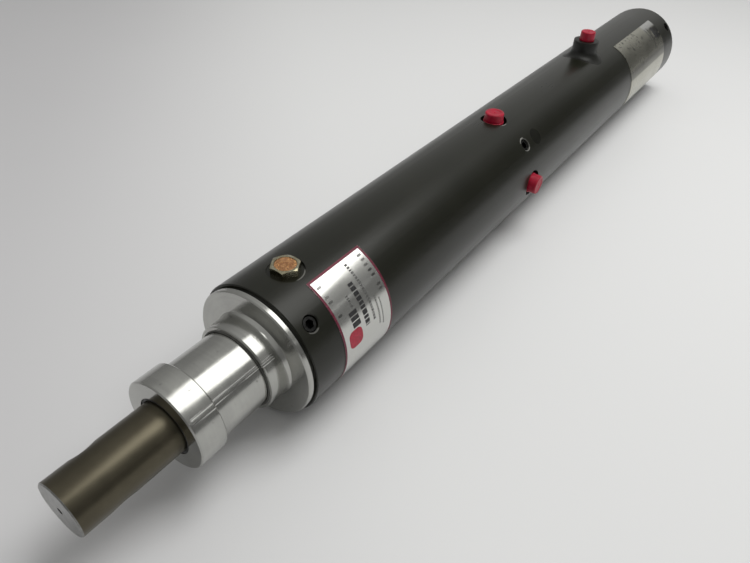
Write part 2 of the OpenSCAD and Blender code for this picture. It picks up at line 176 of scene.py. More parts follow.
# ---------------------------------------------------------------- shader helpers
class Shader:
    """A material with short calls that add nodes and join them."""

    def __init__(self, name):
        self.material = bpy.data.materials.new(name)
        self.material.use_nodes = True
        self.tree = self.material.node_tree
        self.bsdf = self.tree.nodes["Principled BSDF"]
        self.coords = self.add("ShaderNodeTexCoord").outputs["Object"]
        parts = self.add("ShaderNodeSeparateXYZ", Vector=self.coords)
        self.x, self.y, self.z = parts.outputs

    def add(self, kind, settings=None, **inputs):
        node = self.tree.nodes.new(kind)
        for key, value in (settings or {}).items():
            setattr(node, key, value)
        for key, value in inputs.items():
            self.put(node.inputs[key.replace("_", " ")], value)
        return node

    def put(self, socket, value):
        if isinstance(value, bpy.types.NodeSocket):
            self.tree.links.new(value, socket)
        else:
            socket.default_value = value

    def set(self, **inputs):
        for key, value in inputs.items():
            self.put(self.bsdf.inputs[key.replace("_", " ")], value)

    def math(self, operation, *values):
        node = self.add("ShaderNodeMath", {"operation": operation})
        for socket, value in zip(node.inputs, values):
            self.put(socket, value)
        return node.outputs[0]

    def vector(self, x, y, z):
        return self.add("ShaderNodeCombineXYZ", X=x, Y=y, Z=z).outputs[0]

    def noise(self, vector, scale, detail=2.0, roughness=0.5):
        node = self.add("ShaderNodeTexNoise", Vector=vector, Scale=scale, Detail=detail,
                        Roughness=roughness)
        return node.outputs["Fac"]

    def step(self, value, low, high, out_low=0.0, out_high=1.0):
        node = self.add("ShaderNodeMapRange", {"interpolation_type": "SMOOTHSTEP"}, Value=value)
        for key, number in (("From Min", low), ("From Max", high), ("To Min", out_low),
                            ("To Max", out_high)):
            node.inputs[key].default_value = number
        return node.outputs[0]

    def mix(self, factor, a, b):
        node = self.add("ShaderNodeMix", {"data_type": "RGBA"}, Factor=factor)
        for socket, value in zip([s for s in node.inputs if s.type == "RGBA"], (a, b)):
            self.put(socket, value if isinstance(value, bpy.types.NodeSocket) else (*value, 1))
        return [s for s in node.outputs if s.type == "RGBA"][0]

    def between(self, value, low, high, soft):
        """1 where value lies between low and high, with a fade of width soft inside each end."""
        return self.math("MULTIPLY", self.step(value, low, low + soft), self.step(value, high, high - soft))

    def hypotenuse(self, a, b):
        return self.math("SQRT", self.math("ADD", self.math("POWER", a, 2.0), self.math("POWER", b, 2.0)))

    def radius(self):
        return self.hypotenuse(self.y, self.z)

    def angle(self):
        return self.math("ARCTAN2", self.y, self.z)

    def bump(self, height, distance, strength=1.0, normal=None):
        node = self.add("ShaderNodeBump", Height=height, Strength=strength, Distance=distance)
        if normal is not None:
            self.put(node.inputs["Normal"], normal)
        return node.outputs[0]

    def hole_ring(self, x, angle, inner, outer, start=-180, stop=180):
        """1 on a ring round a radial hole, 0 elsewhere. Lengths in millimetres, angles in degrees.

        The ring can be cut to an arc from start to stop, counted from +X towards the growing angle.
        """
        a = math.radians(angle)
        across = self.math("SUBTRACT", self.math("MULTIPLY", self.y, math.cos(a)),
                           self.math("MULTIPLY", self.z, math.sin(a)))
        up = self.math("ADD", self.math("MULTIPLY", self.y, math.sin(a)),
                       self.math("MULTIPLY", self.z, math.cos(a)))
        along = self.math("SUBTRACT", self.x, x * MM)
        away = self.hypotenuse(along, across)
        edge = 0.08
        ring = self.math("MULTIPLY", self.step(away, (inner - edge) * MM, (inner + edge) * MM),
                         self.step(away, (outer + edge) * MM, (outer - edge) * MM))
        ring = self.math("MULTIPLY", ring, self.step(up, 0.028, 0.030))
        if stop - start < 360:
            turn = self.math("ARCTAN2", across, along)
            soft = 0.12
            ring = self.math("MULTIPLY", ring, self.math("MULTIPLY",
                self.step(turn, math.radians(start) - soft, math.radians(start) + soft),
                self.step(turn, math.radians(stop) + soft, math.radians(stop) - soft)))
        return ring


# Bare metal round holes, cut to the arcs and strengths where light catches it, so partly painted glints: x,
# angle, inner and outer radius, start and stop of the arc, strength
BARE_EDGES_AND_GLINTS = (
    (SCREW_X[0], SCREW_ANGLE, 3.98, 4.62, 40, 120, 0.30),
    (SCREW_X[1], SCREW_ANGLE, 3.98, 5.0, -110, -30, 0.8),
    (SCREW_X[1], SCREW_ANGLE, 3.98, 4.6, 40, 135, 0.7),
    (SCREW_X[1], SCREW_ANGLE, 3.98, 4.5, -180, 180, 0.2),
    (PORT_X, 0, 8.55, 9.0, 66, 92, 1.0),
    (PORT_X, 90, 8.55, 8.95, 50, 74, 0.8),
    (BREATHER_X, 0, 8.25, 8.95, 78, 135, 0.45),
)
STAIN_X = PORT_X - 15.5
STAIN_R = 5.5


def anodised_barrel():
    """Satin black anodised tube: faint drawn lines along it, cloudy tone. Bare metal at some hole edges,
    partly painted glints whose arcs follow where light catches it.
    """
    s = Shader("anodised_barrel")
    lines = s.noise(s.vector(s.math("MULTIPLY", s.x, 6.0), s.math("MULTIPLY", s.y, 900.0),
                             s.math("MULTIPLY", s.z, 900.0)), 1.0, 3.0, 0.6)
    cloud = s.noise(s.coords, 22.0, 4.0, 0.6)
    grain = s.noise(s.coords, 2600.0, 2.0)
    tone = s.math("ADD", s.math("MULTIPLY", lines, 0.35), s.math("MULTIPLY", cloud, 0.65))
    base = s.mix(s.step(tone, 0.3, 0.7), (0.0072, 0.0075, 0.0040), (0.0102, 0.0106, 0.0060))
    # Pale metal round the holes: worn edges, cut to painted glints where light catches them.
    bare_and_glint = None
    for x, angle, inner, outer, start, stop, level in BARE_EDGES_AND_GLINTS:
        ring = s.math("MULTIPLY", s.hole_ring(x, angle, inner, outer, start, stop), level)
        bare_and_glint = ring if bare_and_glint is None else s.math("MAXIMUM", bare_and_glint, ring)
    wear = s.noise(s.coords, 900.0, 2.0)
    stain = s.hole_ring(STAIN_X, SCREW_ANGLE, -1.0, STAIN_R)
    base = s.mix(s.math("MULTIPLY", stain, s.step(wear, 0.35, 0.6)), base, (0.004, 0.004, 0.003))
    s.set(Base_Color=s.mix(bare_and_glint, base, (0.40, 0.395, 0.37)), Metallic=s.math("MULTIPLY", bare_and_glint, 0.9))
    s.set(Roughness=s.math("ADD", s.step(tone, 0.25, 0.75, 0.27, 0.32),
                           s.math("ADD", s.math("MULTIPLY", bare_and_glint, wear), s.math("MULTIPLY", stain, 0.12))))
    s.set(Specular_IOR_Level=s.math("SUBTRACT", 0.38, s.math("MULTIPLY", stain, 0.22)))
    height = s.math("ADD", s.math("MULTIPLY", grain, 0.4), s.math("MULTIPLY", lines, 0.6))
    s.set(Normal=s.bump(height, 0.00001, 0.4))
    return s.material


def turned_metal(name, colour, dark, roughness, marks=1.0, anisotropy=0.45, scored=None):
    """Lathe-turned metal: fine feed marks round the axis, dulled patches, small dings and scratches.

    Long bright scratches run along the axis in the scored lane: two angles in degrees, two ends in
    millimetres.
    """
    s = Shader(name)
    radius = s.radius()
    feed = s.noise(s.vector(s.math("MULTIPLY", s.x, 5200.0), s.math("MULTIPLY", radius, 5200.0),
                            s.math("MULTIPLY", s.angle(), 0.8)), 1.0, 2.0, 0.7)
    bands = s.noise(s.vector(s.math("MULTIPLY", s.x, 700.0), s.math("MULTIPLY", radius, 700.0),
                             s.math("MULTIPLY", s.angle(), 0.35)), 1.0, 2.0, 0.5)
    patches = s.noise(s.coords, 70.0, 3.0, 0.6)
    tone = s.math("ADD", s.math("MULTIPLY", bands, 0.3), s.math("MULTIPLY", patches, 0.7))
    base = s.mix(s.step(tone, 0.35, 0.65), dark, colour)
    dings = s.step(s.noise(s.coords, 420.0, 1.0), 0.735, 0.78)
    scratch_space = s.vector(s.math("MULTIPLY", s.x, 60.0), s.math("MULTIPLY", s.angle(), 90.0),
                             s.math("MULTIPLY", radius, 60.0))
    scratches = s.step(s.noise(scratch_space, 1.0, 1.0), 0.72, 0.76)
    marked = s.math("MAXIMUM", dings, s.math("MULTIPLY", scratches, 0.5))
    base = s.mix(s.math("MULTIPLY", marked, 0.45), base, tuple(c * 0.35 for c in colour))
    rough = s.step(s.math("ADD", s.math("MULTIPLY", feed, 0.4), s.math("MULTIPLY", patches, 0.6)),
                   0.3, 0.7, roughness * 0.8, roughness * 1.25)
    if scored:
        first, last = (math.radians(a) for a in scored[:2])
        rear, front = (x * MM for x in scored[2:])
        lane = s.math("MULTIPLY", s.between(s.angle(), first, last, 0.03), s.between(s.x, rear, front, MM))
        stretched = s.vector(s.math("MULTIPLY", s.x, 30.0), s.math("MULTIPLY", s.angle(), 75.0), 0.5)
        lines = s.noise(stretched, 1.0, 1.0)
        score = s.math("MULTIPLY", lane, s.step(lines, 0.56, 0.62))
        base = s.mix(score, base, (0.90, 0.90, 0.87))
        rough = s.math("ADD", rough, s.math("MULTIPLY", score, 0.28))
    s.set(Base_Color=base, Metallic=1.0, Anisotropic=anisotropy, Roughness=rough)
    height = s.math("SUBTRACT", s.math("MULTIPLY", feed, marks), s.math("MULTIPLY", dings, 2.0))
    s.set(Normal=s.bump(height, 0.000012, 0.6))
    tangent = s.add("ShaderNodeTangent", {"direction_type": "RADIAL", "axis": "X"})
    s.set(Tangent=tangent.outputs[0])
    return s.material


def coated_rod():
    """Dark, warm coating on a ground rod, with a plain metal face at its end."""
    s = Shader("coated_rod")
    cloud = s.noise(s.coords, 60.0, 3.0, 0.5)
    grind = s.noise(s.vector(s.math("MULTIPLY", s.x, 2600.0), s.math("MULTIPLY", s.angle(), 2.0),
                             s.math("MULTIPLY", s.radius(), 300.0)), 1.0, 2.0)
    base = s.mix(s.step(cloud, 0.3, 0.7), (0.096, 0.085, 0.061), (0.118, 0.105, 0.075))
    face = s.step(s.x, (ROD_TIP - 0.62) * MM, (ROD_TIP - 0.38) * MM)
    metal = s.mix(s.step(s.noise(s.coords, 500.0, 3.0), 0.3, 0.7), (0.25, 0.25, 0.24), (0.33, 0.33, 0.32))
    s.set(Base_Color=s.mix(face, base, metal), Metallic=1.0, Anisotropic=0.2)
    s.set(Roughness=s.step(s.math("ADD", s.math("MULTIPLY", grind, 0.3), s.math("MULTIPLY", cloud, 0.7)),
                           0.3, 0.7, 0.29, 0.34))
    s.set(Normal=s.bump(grind, 0.000004, 0.5))
    tangent = s.add("ShaderNodeTangent", {"direction_type": "RADIAL", "axis": "X"})
    s.set(Tangent=tangent.outputs[0])
    return s.material


def rubber(name, colour=(0.012, 0.012, 0.012), roughness=0.55):
    """Moulded rubber or filled plastic with a fine skin and a paler bloom."""
    s = Shader(name)
    skin = s.noise(s.coords, 1500.0, 3.0, 0.6)
    bloom = s.noise(s.coords, 180.0, 2.0)
    s.set(Base_Color=s.mix(s.step(bloom, 0.3, 0.75), colour, tuple(c * 1.9 for c in colour)))
    s.set(Roughness=s.step(skin, 0.3, 0.7, roughness * 0.85, roughness * 1.15), Specular_IOR_Level=0.4)
    s.set(Normal=s.bump(skin, 0.00003, 0.5))
    return s.material


def red_plastic():
    """Soft moulded plastic: slight waviness, paler where the wall is thin, a few scuffs."""
    s = Shader("red_plastic")
    wave = s.noise(s.coords, 260.0, 2.0)
    skin = s.noise(s.coords, 2400.0, 2.0)
    scuff = s.step(s.noise(s.coords, 800.0, 2.0), 0.64, 0.72)
    base = s.mix(s.step(wave, 0.3, 0.7), (0.31, 0.002, 0.020), (0.40, 0.003, 0.028))
    base = s.mix(s.math("MULTIPLY", scuff, 0.12), base, (0.55, 0.14, 0.18))
    s.set(Base_Color=base, Roughness=s.step(wave, 0.3, 0.7, 0.34, 0.46))
    s.set(Subsurface_Weight=0.12, Subsurface_Scale=0.002, Specular_IOR_Level=0.38)
    s.set(Normal=s.bump(s.math("ADD", wave, s.math("MULTIPLY", skin, 0.15)), 0.00008, 0.5))
    return s.material


def foil(name, colour, dark, roughness, grime_and_dark_band):
    """Glossy foil of a label: faint brush lines, slight waviness and worn patches at its rear end. When
    dirtied, the foil also gets a painted dark reflection: a darker band along it from 60 to 77 degrees
    round the barrel.
    """
    s = Shader(name)
    brush = s.noise(s.vector(s.math("MULTIPLY", s.x, 4200.0), s.math("MULTIPLY", s.angle(), 3.0),
                             s.math("MULTIPLY", s.radius(), 10.0)), 1.0, 3.0, 0.6)
    wave = s.noise(s.coords, 35.0, 2.0, 0.5)
    worn = s.step(s.noise(s.coords, 120.0, 4.0, 0.65), 0.42, 0.49)
    rear = s.step(s.x, (REAR_LABEL[0] + 26) * MM, (REAR_LABEL[0] + 12) * MM)
    top = s.step(s.angle(), math.radians(56), math.radians(46))
    dirt = s.math("MULTIPLY", s.math("MULTIPLY", worn, grime_and_dark_band), s.math("MULTIPLY", rear, top))
    base = s.mix(s.math("MULTIPLY", brush, 0.25), colour, dark)
    if grime_and_dark_band:
        # Painted dark reflection: a darker band along the whole label between 60 and 77 degrees round the
        # barrel.
        painted_dark_band = s.math("MULTIPLY", s.step(s.angle(), math.radians(60), math.radians(66)),
                         s.step(s.angle(), math.radians(77), math.radians(74)))
        base = s.mix(s.math("MULTIPLY", painted_dark_band, 0.85), base, tuple(c * 0.25 for c in colour))
        specks = s.step(s.noise(s.coords, 330.0, 2.0), 0.60, 0.65)
        base = s.mix(s.math("MULTIPLY", specks, top), base, tuple(c * 0.3 for c in colour))
        pale = s.math("MULTIPLY", s.step(s.angle(), math.radians(33), math.radians(27)),
                      s.step(s.x, (REAR_LABEL[0] + 30) * MM, (REAR_LABEL[0] + 22) * MM))
        base = s.mix(pale, base, (0.62, 0.62, 0.60))
        dirt = s.math("MULTIPLY", dirt, s.math("SUBTRACT", 1.0, pale))
    base = s.mix(dirt, base, tuple(c * 0.03 for c in colour))
    s.set(Base_Color=base, Metallic=0.95, Anisotropic=0.2)
    s.set(Roughness=s.math("ADD", s.step(wave, 0.3, 0.7, roughness * 0.85, roughness * 1.15),
                           s.math("MULTIPLY", dirt, 0.25)))
    s.set(Normal=s.bump(s.math("ADD", wave, s.math("MULTIPLY", brush, 0.02)), 0.00006, 0.25))
    return s.material


def print_ink(name, colour, roughness=0.5):
    """Printed ink, slightly worn."""
    s = Shader(name)
    wear = s.noise(s.coords, 900.0, 3.0, 0.6)
    s.set(Base_Color=s.mix(s.step(wear, 0.45, 0.75), colour, tuple(min(1, c * 1.7 + 0.02) for c in colour)))
    s.set(Roughness=s.step(wear, 0.3, 0.7, roughness * 0.85, roughness * 1.15))
    s.set(Normal=s.bump(wear, 0.00001, 0.3))
    return s.material


def sintered_bronze():
    """Dull tan grains with bright golden ones scattered among them."""
    s = Shader("sintered_bronze")
    grain = s.add("ShaderNodeTexVoronoi", Vector=s.coords, Scale=1700.0)
    tint = s.noise(s.coords, 650.0, 2.0)
    bright = s.step(s.noise(s.coords, 1500.0, 1.0), 0.60, 0.68)
    base = s.mix(s.step(tint, 0.35, 0.65), (0.36, 0.17, 0.075), (0.52, 0.29, 0.14))
    s.set(Base_Color=s.mix(bright, base, (0.95, 0.62, 0.28)))
    s.set(Metallic=s.step(bright, 0.0, 1.0, 0.25, 0.95), Roughness=s.step(tint, 0.3, 0.7, 0.40, 0.52),
          Normal=s.bump(grain.outputs["Distance"], 0.0001, 0.4))
    return s.material


def plated_steel(name, colour, dark, roughness):
    """Plated or oxidised metal with cloudy patches and a fine grain."""
    s = Shader(name)
    patch = s.noise(s.coords, 260.0, 3.0, 0.6)
    fine = s.noise(s.coords, 2200.0, 2.0)
    s.set(Base_Color=s.mix(s.step(patch, 0.3, 0.7), dark, colour), Metallic=1.0)
    s.set(Roughness=s.step(fine, 0.3, 0.7, roughness * 0.8, roughness * 1.25))
    s.set(Normal=s.bump(s.math("ADD", patch, s.math("MULTIPLY", fine, 0.2)), 0.00004, 0.4))
    return s.material


def black_paint():
    """Satin paint over a welded boss: orange peel and soft unevenness."""
    s = Shader("black_paint")
    peel = s.noise(s.coords, 700.0, 2.0)
    cloud = s.noise(s.coords, 60.0, 3.0)
    s.set(Base_Color=s.mix(s.step(cloud, 0.3, 0.7), (0.0070, 0.0072, 0.0055), (0.0110, 0.0112, 0.0090)))
    s.set(Roughness=s.step(cloud, 0.3, 0.7, 0.36, 0.46), Specular_IOR_Level=0.36)
    s.set(Normal=s.bump(peel, 0.00006, 0.5))
    return s.material


def floor_paper():
    """Pale matt paper with fine fibres, a little greyer towards -Y and +X: painted shade for the light
    falling off.
    """
    s = Shader("floor_paper")
    fibre = s.noise(s.coords, 900.0, 3.0, 0.6)
    cloud = s.noise(s.coords, 2.5, 3.0)
    # Painted shade: the paper greys towards +X and -Y, standing in for the light falling off with distance.
    across = s.math("SUBTRACT", s.math("MULTIPLY", s.x, 0.72), s.math("MULTIPLY", s.y, 0.69))
    base = s.mix(s.step(across, -0.09, 0.19), (0.775, 0.777, 0.778), (0.60, 0.595, 0.605))
    s.set(Base_Color=s.mix(s.step(cloud, 0.3, 0.7, 0.0, 0.06), base, (0.90, 0.90, 0.90)))
    s.set(Roughness=s.step(fibre, 0.3, 0.7, 0.55, 0.65), Specular_IOR_Level=0.3)
    s.set(Normal=s.bump(fibre, 0.00005, 0.3))
    return s.material


BARREL = anodised_barrel()
NOSE = turned_metal("turned_aluminium", (0.48, 0.48, 0.455), (0.42, 0.42, 0.40), 0.16, 0.8, 0.3,
                    scored=(46, 57, 8, 54))
INNER = turned_metal("machined_inner", (0.62, 0.62, 0.61), (0.48, 0.48, 0.47), 0.32)
STEEL = turned_metal("ground_steel", (0.50, 0.50, 0.49), (0.38, 0.38, 0.37), 0.25)
ROD = coated_rod()
BRONZE = turned_metal("bearing_bronze", (0.55, 0.38, 0.20), (0.42, 0.28, 0.14), 0.35)
WEAR_TAPE = rubber("wear_tape", (0.22, 0.12, 0.06), 0.5)
SEAL = rubber("seal_rubber")
WIPER = rubber("wiper_rubber", (0.010, 0.010, 0.010), 0.40)
HUB_WIPER = rubber("hub_wiper_rubber", (0.060, 0.060, 0.054), 0.40)
SCREW = plated_steel("black_oxide", (0.060, 0.060, 0.058), (0.025, 0.025, 0.025), 0.38)
PLATED = plated_steel("zinc_plate", (0.50, 0.475, 0.36), (0.36, 0.33, 0.22), 0.24)
SINTER = sintered_bronze()
PAINT = black_paint()
RED = red_plastic()
FRONT_FOIL = foil("front_foil", (0.58, 0.58, 0.555), (0.50, 0.50, 0.48), 0.19, 0.0)
REAR_FOIL = foil("rear_foil", (0.47, 0.46, 0.39), (0.38, 0.37, 0.31), 0.25, 0.95)
MAROON = print_ink("maroon_ink", (0.115, 0.004, 0.022))
CRIMSON = print_ink("crimson_ink", (0.34, 0.008, 0.030))
BLACK_INK = print_ink("black_ink", (0.014, 0.014, 0.015))
GREY_INK = print_ink("grey_ink", (0.075, 0.075, 0.072))
STAMP = plated_steel("stamped_foil", (0.26, 0.26, 0.25), (0.15, 0.15, 0.145), 0.30)

CAD_MATERIALS = {
    "barrel_tube": BARREL, "front_gland": NOSE, "stage_sleeve": NOSE, "rod": ROD,
    "gland_bearing": BRONZE, "ram_bearing": BRONZE, "rod_bush": BRONZE,
    "gland_seal": SEAL, "gland_o_ring": SEAL, "centre_head_o_rings": SEAL, "ram_seal": SEAL,
    "rear_cap_o_ring": SEAL, "stage_piston_seal": SEAL, "rod_seal": SEAL, "rod_piston_seal": SEAL,
    "air_piston_seals": SEAL, "set_screws": SCREW, "centre_head": INNER, "stroke_spacer": INNER,
    "rear_cap": INNER, "stage_piston": INNER, "stage_stop_tube": INNER, "rod_piston": INNER,
    "air_piston": INNER, "rod_piston_nut": STEEL, "ram": STEEL, "ram_nut": STEEL,
    "stage_wear_band": WEAR_TAPE, "rod_wear_band": WEAR_TAPE, "air_wear_band": WEAR_TAPE,
    "front_label": FRONT_FOIL, "rear_label": REAR_FOIL, "port_boss": PAINT,
    "gland_wiper": HUB_WIPER, "rod_wiper": WIPER, "breather_body": PLATED, "breather_element": SINTER,
    "port_plug_top": RED, "port_plug_side": RED, "port_plug_rear": RED,
}


def dress(name, material):
    """Gives a CAD node a single material."""
    slots = NODES[name].data.materials
    slots.clear()
    slots.append(material)


for node_name, node_material in CAD_MATERIALS.items():
    dress(node_name, node_material)


# ---------------------------------------------------------------- mesh helpers
def add_piece(name, bm, material, body, sharp=35, matrix=None):
    """Turns a bmesh in millimetres into a smooth piece that rides on a CAD body."""
    if matrix is not None:
        bm.transform(matrix)
    bm.transform(Matrix.Scale(MM, 4))
    bmesh.ops.remove_doubles(bm, verts=bm.verts, dist=1e-7)
    bmesh.ops.recalc_face_normals(bm, faces=bm.faces)
    mesh = bpy.data.meshes.new(name)
    bm.to_mesh(mesh)
    bm.free()
    mesh.shade_smooth()
    mesh.set_sharp_from_angle(angle=math.radians(sharp))
    mesh.materials.append(material)
    piece = bpy.data.objects.new(name, mesh)
    bpy.context.scene.collection.objects.link(piece)
    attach(piece, body)
    return piece


def rounded(corners, steps=6):
    """Outline through (radius, height, rounding) corners, with an arc at each rounded corner."""
    points = []
    count = len(corners)
    for i, (x, y, size) in enumerate(corners):
        here = Vector((x, y))
        if size == 0:
            points.append(here)
            continue
        before = (Vector(corners[i - 1][:2]) - here)
        after = (Vector(corners[(i + 1) % count][:2]) - here)
        reach = min(size, before.length * 0.49, after.length * 0.49)
        start = here + before.normalized() * reach
        end = here + after.normalized() * reach
        for k in range(steps + 1):
            t = k / steps
            points.append(start * (1 - t) ** 2 + here * 2 * t * (1 - t) + end * t * t)
    return points


def lathe(outline, segments=96, closed=True):
    """Turns an outline of (radius, height) points about the Z axis."""
    bm = bmesh.new()
    rings = []
    for k in range(segments):
        a = 2 * math.pi * k / segments
        rings.append([bm.verts.new((p[0] * math.cos(a), p[0] * math.sin(a), p[1])) for p in outline])
    last = len(outline) if closed else len(outline) - 1
    for k in range(segments):
        one, two = rings[k], rings[(k + 1) % segments]
        for i in range(last):
            j = (i + 1) % len(outline)
            bm.faces.new((one[i], two[i], two[j], one[j]))
    bmesh.ops.remove_doubles(bm, verts=bm.verts, dist=1e-5)
    return bm


def radial(x, angle, height=0.0):
    """Matrix that stands a piece on the barrel at x, at an angle from the top, Z outwards."""
    return (Matrix.Translation((x, 0, 0)) @ Matrix.Rotation(math.radians(-angle), 4, "X")
            @ Matrix.Translation((0, 0, height)))


def along_axis(x):
    """Matrix that lays a turned piece along the cylinder's axis, starting at x."""
    return Matrix.Translation((x, 0, 0)) @ Matrix.Rotation(math.radians(90), 4, "Y")


# ---------------------------------------------------------------- transport plugs
def make_plug(name, node, x, angle, base, height, body_r, brim, sink):
    """Moulded plug: tapered wall, rounded shoulder, shallow dished crown with a gate mark, shank."""
    top = height
    foot = [(body_r + brim, 1.4, 0.3), (body_r + brim, 0.1, 0.3)] if brim else []
    outline = rounded([
        (0, top - 0.25, 0), (body_r - 2.6, top - 0.3, 0.5), (body_r - 1.9, top, 0.5),
        (body_r - 0.2, top, 1.9), (body_r, 1.6 if brim else 0.0, 0.15), *foot, (body_r - 0.2, 0, 0.15),
        (5.5, -0.1, 0.1), (5.5, -sink, 0.5), (0, -sink, 0),
    ])
    bm = lathe(outline)
    gate = lathe(rounded([(0, top - 0.05, 0), (0.6, top - 0.1, 0.2), (0.75, top - 0.6, 0),
                          (0, top - 0.6, 0)]), 24)
    merge(bm, gate)
    piece = add_piece(name, bm, RED, "barrel", 40, radial(x, angle, base))
    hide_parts(node)


def merge(bm, other, matrix=None):
    """Adds the geometry of another bmesh to bm and frees it."""
    if matrix is not None:
        other.transform(matrix)
    mesh = bpy.data.meshes.new("merge")
    other.to_mesh(mesh)
    other.free()
    bm.from_mesh(mesh)
    bpy.data.meshes.remove(mesh)


make_plug("top_port_plug", "port_plug_top", PORT_X, 0, 32.4, 7.1, 6.3, 0.4, 7)
make_plug("side_port_plug", "port_plug_side", PORT_X, 90, 32.4, 7.1, 6.3, 0.4, 7)
make_plug("rear_port_plug", "port_plug_rear", BOSS_X, 0, BOSS_TOP + 0.05, 6.7, 5.75, 0, 6)


# ---------------------------------------------------------------- breather
def hex_radius(angle, across):
    """Distance from the centre of a hexagon to its side, at an angle in radians."""
    return across / 2 / math.cos((angle % (math.pi / 3)) - math.pi / 6)


def make_breather_hex():
    """Hexagon with lightly chamfered corners, a flat pale rim and the cup for the disc."""
    across = 12.7
    height = BREATHER_TOP - BREATHER_SEAT
    segments = 180
    cup_r = 5.2
    bm = bmesh.new()
    rings = []
    for k in range(segments):
        a = 2 * math.pi * k / segments
        edge = hex_radius(a, across)
        chamfer = max(0.0, edge - 6.4) * 0.55
        row = [
            (4.8, 0.0), (edge, 0.0), (edge, height - chamfer - 0.12), (edge - 0.12, height - chamfer),
            (6.15, height), (cup_r + 0.15, height), (cup_r, height - 0.15),
            (cup_r, height - 1.7), (4.6, height - 1.7), (1.5, height - 1.7), (1.5, 0.0),
        ]
        rings.append([bm.verts.new((r * math.cos(a), r * math.sin(a), z)) for r, z in row])
    for k in range(segments):
        one, two = rings[k], rings[(k + 1) % segments]
        for i in range(len(one)):
            j = (i + 1) % len(one)
            bm.faces.new((one[i], two[i], two[j], one[j]))
    thread = lathe(rounded([(1.5, 0, 0), (4.7, 0, 0), (4.7, -7, 0.4), (1.5, -7, 0)]), 48)
    merge(bm, thread)
    turn = Matrix.Rotation(math.radians(30), 4, "Z")
    piece = add_piece("breather_hexagon", bm, PLATED, "barrel", 25,
                      radial(BREATHER_X, 0, BREATHER_SEAT) @ turn)
    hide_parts("breather_body")


def make_sintered_disc():
    """Domed disc of sintered beads, packed in a sunflower spiral with a little disorder."""
    dome = 0.35
    bm = lathe(rounded([(0, 0, 0), (0, 1.1 + dome, 0), (2.6, 1.1 + dome * 0.75, 0.5), (5.15, 1.1, 0.2),
                        (5.15, 0, 0)]), 64)
    count = 520
    golden = math.pi * (3 - math.sqrt(5))
    for k in range(count):
        part = math.sqrt((k + 0.5) / count)
        r = 4.98 * part
        a = k * golden + random.uniform(-0.06, 0.06)
        bead = bmesh.new()
        bmesh.ops.create_icosphere(bead, subdivisions=1, radius=random.uniform(0.17, 0.27))
        lift = 1.08 + dome * (1 - part * part) + random.uniform(-0.08, 0.10)
        merge(bm, bead, Matrix.Translation((r * math.cos(a), r * math.sin(a), lift)))
    piece = add_piece("breather_disc", bm, SINTER, "barrel", 60,
                      radial(BREATHER_X, 0, BREATHER_TOP - 1.5))
    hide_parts("breather_element")


make_breather_hex()
make_sintered_disc()


# ---------------------------------------------------------------- rear port boss
def make_boss():
    """Round boss on a concave fillet weld that runs out on the barrel, with the welder's faint ripples."""
    wall_r, hole_r, foot, weld_top = 9.7, 5.75, 5.2, 39.4
    segments, rows = 180, 14

    def barrel_height(r, a):
        return math.sqrt(BARREL_R ** 2 - (r * math.sin(a)) ** 2)

    bm = bmesh.new()
    rings = []
    for k in range(segments):
        a = 2 * math.pi * k / segments
        ripple = 0.025 * math.sin(34 * a) + 0.12 * math.sin(5 * a + 1.0)
        spread = foot * (1 + 0.12 * math.sin(a) ** 2) + ripple
        ring = [(hole_r, BOSS_TOP - 9), (hole_r, BOSS_TOP - 0.3), (hole_r + 0.3, BOSS_TOP),
                (wall_r - 0.45, BOSS_TOP), (wall_r - 0.12, BOSS_TOP - 0.12), (wall_r, BOSS_TOP - 0.45),
                (wall_r, weld_top + 0.6)]
        rise = weld_top - barrel_height(wall_r, a)
        for i in range(rows + 1):
            t = i / rows * math.pi / 2
            r = wall_r + spread * (1 - math.cos(t))
            ring.append((r, barrel_height(r, a) + rise * (1 - math.sin(t)) + 0.03))
        ring += [(wall_r + spread + 0.3, barrel_height(wall_r + spread + 0.3, a) - 0.3),
                 (wall_r + spread + 0.3, barrel_height(wall_r + spread, a) - 1.5), (hole_r, 27.5)]
        rings.append([bm.verts.new((r * math.cos(a), r * math.sin(a), z)) for r, z in ring])
    for k in range(segments):
        one, two = rings[k], rings[(k + 1) % segments]
        for i in range(len(one)):
            j = (i + 1) % len(one)
            bm.faces.new((one[i], two[i], two[j], one[j]))
    piece = add_piece("welded_port_boss", bm, PAINT, "barrel", 40, radial(BOSS_X, 0))
    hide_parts("port_boss")


make_boss()


# ---------------------------------------------------------------- wipers with rounded lips
def make_wiper(name, node, material, body, front, depth, inner, outer, lip):
    """Scraper ring: rounded heel, a groove, and a lip that leans onto the shaft.

    The lip stands out of the seat by lip millimetres, or stays inside when lip is negative.
    """
    middle = (inner + outer) / 2
    outline = rounded([
        (inner + 0.2, 0, 0.1), (outer, 0, 0.1), (outer, depth - 0.35, 0.3),
        (middle + 0.12, depth - 0.35 + max(lip, 0) * 0.6, 0.25), (middle - 0.05, depth + lip, 0.25),
        (inner, depth + lip - 0.1, 0.25), (inner, depth - 2.0, 0.2),
    ])
    bm = lathe(outline, 128)
    piece = add_piece(name, bm, material, body, 50, along_axis(front - depth))
    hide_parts(node)


make_wiper("hub_wiper_ring", "gland_wiper", HUB_WIPER, "barrel", HUB_FRONT, 5.9,
           SLEEVE_R + 0.1, SLEEVE_R + 0.88, 0.55)
make_wiper("collar_wiper_ring", "rod_wiper", WIPER, "first_stage", COLLAR_FRONT, 4.9,
           ROD_R + 0.1, ROD_R + 1.48, -0.1)


# ---------------------------------------------------------------- label print
LABEL_LIFT = 0.255
LABEL_BORDER = 1.2
FRONT_LABEL_ANGLES = (21, 125)
PRINT_THICKNESS = 0.03
WORD_GAP = 0.9  # degrees


